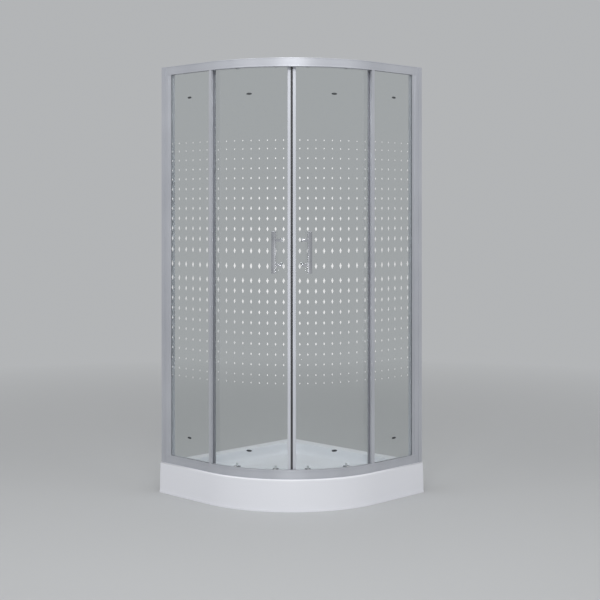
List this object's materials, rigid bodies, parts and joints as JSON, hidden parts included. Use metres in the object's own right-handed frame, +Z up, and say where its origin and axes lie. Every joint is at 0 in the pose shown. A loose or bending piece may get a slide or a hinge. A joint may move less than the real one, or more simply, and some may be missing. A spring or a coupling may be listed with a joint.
{
  "type": "corner shower enclosure with tray",
  "caption": "Quadrant corner shower enclosure: moulded tray, satin aluminium frame, fixed glass at the walls and curved sliding doors.",
  "frame": {"origin": "centre of the tray's square outline, on the floor", "axes": "+Z up, -X towards the left wall and +Y towards the right wall as seen from the curved front, which faces +X and -Y"},
  "size_m": [0.9, 0.9, 2.045],
  "materials": {
    "tray": "moulded, glossy white",
    "board": "chipboard",
    "frame_paint": "painted steel",
    "steel": "zinc plated steel",
    "foot_plastic": "black plastic",
    "aluminium": "satin anodised",
    "grey_plastic": "grey plastic",
    "white_plastic": "white plastic",
    "glass": "clear, faint grey",
    "rubber": "black rubber",
    "clear_seal": "translucent soft plastic",
    "chrome": "polished chrome"
  },
  "bodies": {
    "enclosure": {"shower_tray": "tray", "base_board": "board", "support_frame": "frame_paint", "foot_rods": "steel", "foot_pads": "foot_plastic", "foot_nuts": "steel", "waste_flange": "chrome", "waste_gasket": "rubber", "waste_body": "white_plastic", "left_wall_channel": "aluminium", "right_wall_channel": "aluminium", "left_jamb": "aluminium", "right_jamb": "aluminium", "bottom_rail": "aluminium", "top_rail": "aluminium", "rail_end_blocks": "grey_plastic", "left_fixed_glass": "glass", "right_fixed_glass": "glass", "glazing_gaskets": "rubber", "left_pane_upright": "aluminium", "right_pane_upright": "aluminium", "frame_screws": "steel", "door_stops": "rubber"},
    "left_door": {"left_door_glass": "glass", "left_door_stile": "aluminium", "left_magnetic_seal": "rubber", "left_trailing_profile": "aluminium", "left_overlap_seal": "clear_seal", "left_bottom_sweep": "clear_seal", "left_top_roller_carriers": "chrome", "left_lower_roller_housings": "chrome", "left_roller_springs": "steel", "left_handle": "chrome", "left_handle_fixings": "chrome"},
    "right_door": {"right_door_glass": "glass", "right_door_stile": "aluminium", "right_magnetic_seal": "rubber", "right_trailing_profile": "aluminium", "right_overlap_seal": "clear_seal", "right_bottom_sweep": "clear_seal", "right_top_roller_carriers": "chrome", "right_lower_roller_housings": "chrome", "right_roller_springs": "steel", "right_handle": "chrome", "right_handle_fixings": "chrome"},
    "left_leading_top_wheel": {"left_leading_top_wheel": "white_plastic"},
    "left_leading_release": {"left_leading_release_slider": "grey_plastic"},
    "left_leading_lower_wheel": {"left_leading_lower_wheel": "white_plastic"},
    "left_trailing_top_wheel": {"left_trailing_top_wheel": "white_plastic"},
    "left_trailing_release": {"left_trailing_release_slider": "grey_plastic"},
    "left_trailing_lower_wheel": {"left_trailing_lower_wheel": "white_plastic"},
    "right_leading_top_wheel": {"right_leading_top_wheel": "white_plastic"},
    "right_leading_release": {"right_leading_release_slider": "grey_plastic"},
    "right_leading_lower_wheel": {"right_leading_lower_wheel": "white_plastic"},
    "right_trailing_top_wheel": {"right_trailing_top_wheel": "white_plastic"},
    "right_trailing_release": {"right_trailing_release_slider": "grey_plastic"},
    "right_trailing_lower_wheel": {"right_trailing_lower_wheel": "white_plastic"},
    "waste_insert": {"drain_cover": "chrome", "drain_cup": "white_plastic"}
  },
  "joints": [
    {"name": "left_door_slide", "type": "hinge", "parent": "enclosure", "child": "left_door", "pos_m": [-0.125, 0.148, 1.095], "axis": [0, 0, -1], "range_deg": [0, 23.8]},
    {"name": "right_door_slide", "type": "hinge", "parent": "enclosure", "child": "right_door", "pos_m": [-0.148, 0.125, 1.095], "axis": [0, 0, 1], "range_deg": [0, 23.8]},
    {"name": "left_leading_top_wheel_spin", "type": "hinge", "parent": "left_door", "child": "left_leading_top_wheel", "pos_m": [0.20482, -0.31194, 2.0161], "axis": [0.5948, -0.8039, 0], "continuous": true},
    {"name": "left_leading_release_press", "type": "slide", "parent": "left_door", "child": "left_leading_release", "axis": [0, 0, -1], "range_m": [0, 0.006], "stiffness_N_per_m": 600, "springref_m": -0.004},
    {"name": "left_leading_lower_wheel_spin", "type": "hinge", "parent": "left_leading_release", "child": "left_leading_lower_wheel", "pos_m": [0.20482, -0.31194, 0.1739], "axis": [-0.5948, 0.8039, 0], "continuous": true},
    {"name": "left_trailing_top_wheel_spin", "type": "hinge", "parent": "left_door", "child": "left_trailing_top_wheel", "pos_m": [0.02831, -0.39613, 2.0161], "axis": [0.2504, -0.9681, 0], "continuous": true},
    {"name": "left_trailing_release_press", "type": "slide", "parent": "left_door", "child": "left_trailing_release", "axis": [0, 0, -1], "range_m": [0, 0.006], "stiffness_N_per_m": 600, "springref_m": -0.004},
    {"name": "left_trailing_lower_wheel_spin", "type": "hinge", "parent": "left_trailing_release", "child": "left_trailing_lower_wheel", "pos_m": [0.02831, -0.39613, 0.1739], "axis": [-0.2504, 0.9681, 0], "continuous": true},
    {"name": "right_leading_top_wheel_spin", "type": "hinge", "parent": "right_door", "child": "right_leading_top_wheel", "pos_m": [0.31194, -0.20482, 2.0161], "axis": [-0.8039, 0.5948, 0], "continuous": true},
    {"name": "right_leading_release_press", "type": "slide", "parent": "right_door", "child": "right_leading_release", "axis": [0, 0, -1], "range_m": [0, 0.006], "stiffness_N_per_m": 600, "springref_m": -0.004},
    {"name": "right_leading_lower_wheel_spin", "type": "hinge", "parent": "right_leading_release", "child": "right_leading_lower_wheel", "pos_m": [0.31194, -0.20482, 0.1739], "axis": [0.8039, -0.5948, 0], "continuous": true},
    {"name": "right_trailing_top_wheel_spin", "type": "hinge", "parent": "right_door", "child": "right_trailing_top_wheel", "pos_m": [0.39613, -0.02831, 2.0161], "axis": [-0.9681, 0.2504, 0], "continuous": true},
    {"name": "right_trailing_release_press", "type": "slide", "parent": "right_door", "child": "right_trailing_release", "axis": [0, 0, -1], "range_m": [0, 0.006], "stiffness_N_per_m": 600, "springref_m": -0.004},
    {"name": "right_trailing_lower_wheel_spin", "type": "hinge", "parent": "right_trailing_release", "child": "right_trailing_lower_wheel", "pos_m": [0.39613, -0.02831, 0.1739], "axis": [0.9681, -0.2504, 0], "continuous": true},
    {"name": "waste_insert_lift", "type": "slide", "parent": "enclosure", "child": "waste_insert", "axis": [0, 0, 1], "range_m": [0, 0.09]}
  ],
  "couplings": [
    {"joint": "left_leading_top_wheel_spin", "follows": "left_door_slide", "ratio": 62.885},
    {"joint": "left_leading_lower_wheel_spin", "follows": "left_door_slide", "ratio": 62.885},
    {"joint": "left_trailing_top_wheel_spin", "follows": "left_door_slide", "ratio": 62.812},
    {"joint": "left_trailing_lower_wheel_spin", "follows": "left_door_slide", "ratio": 62.812},
    {"joint": "right_leading_top_wheel_spin", "follows": "right_door_slide", "ratio": 62.885},
    {"joint": "right_leading_lower_wheel_spin", "follows": "right_door_slide", "ratio": 62.885},
    {"joint": "right_trailing_top_wheel_spin", "follows": "right_door_slide", "ratio": 62.812},
    {"joint": "right_trailing_lower_wheel_spin", "follows": "right_door_slide", "ratio": 62.812}
  ]
}
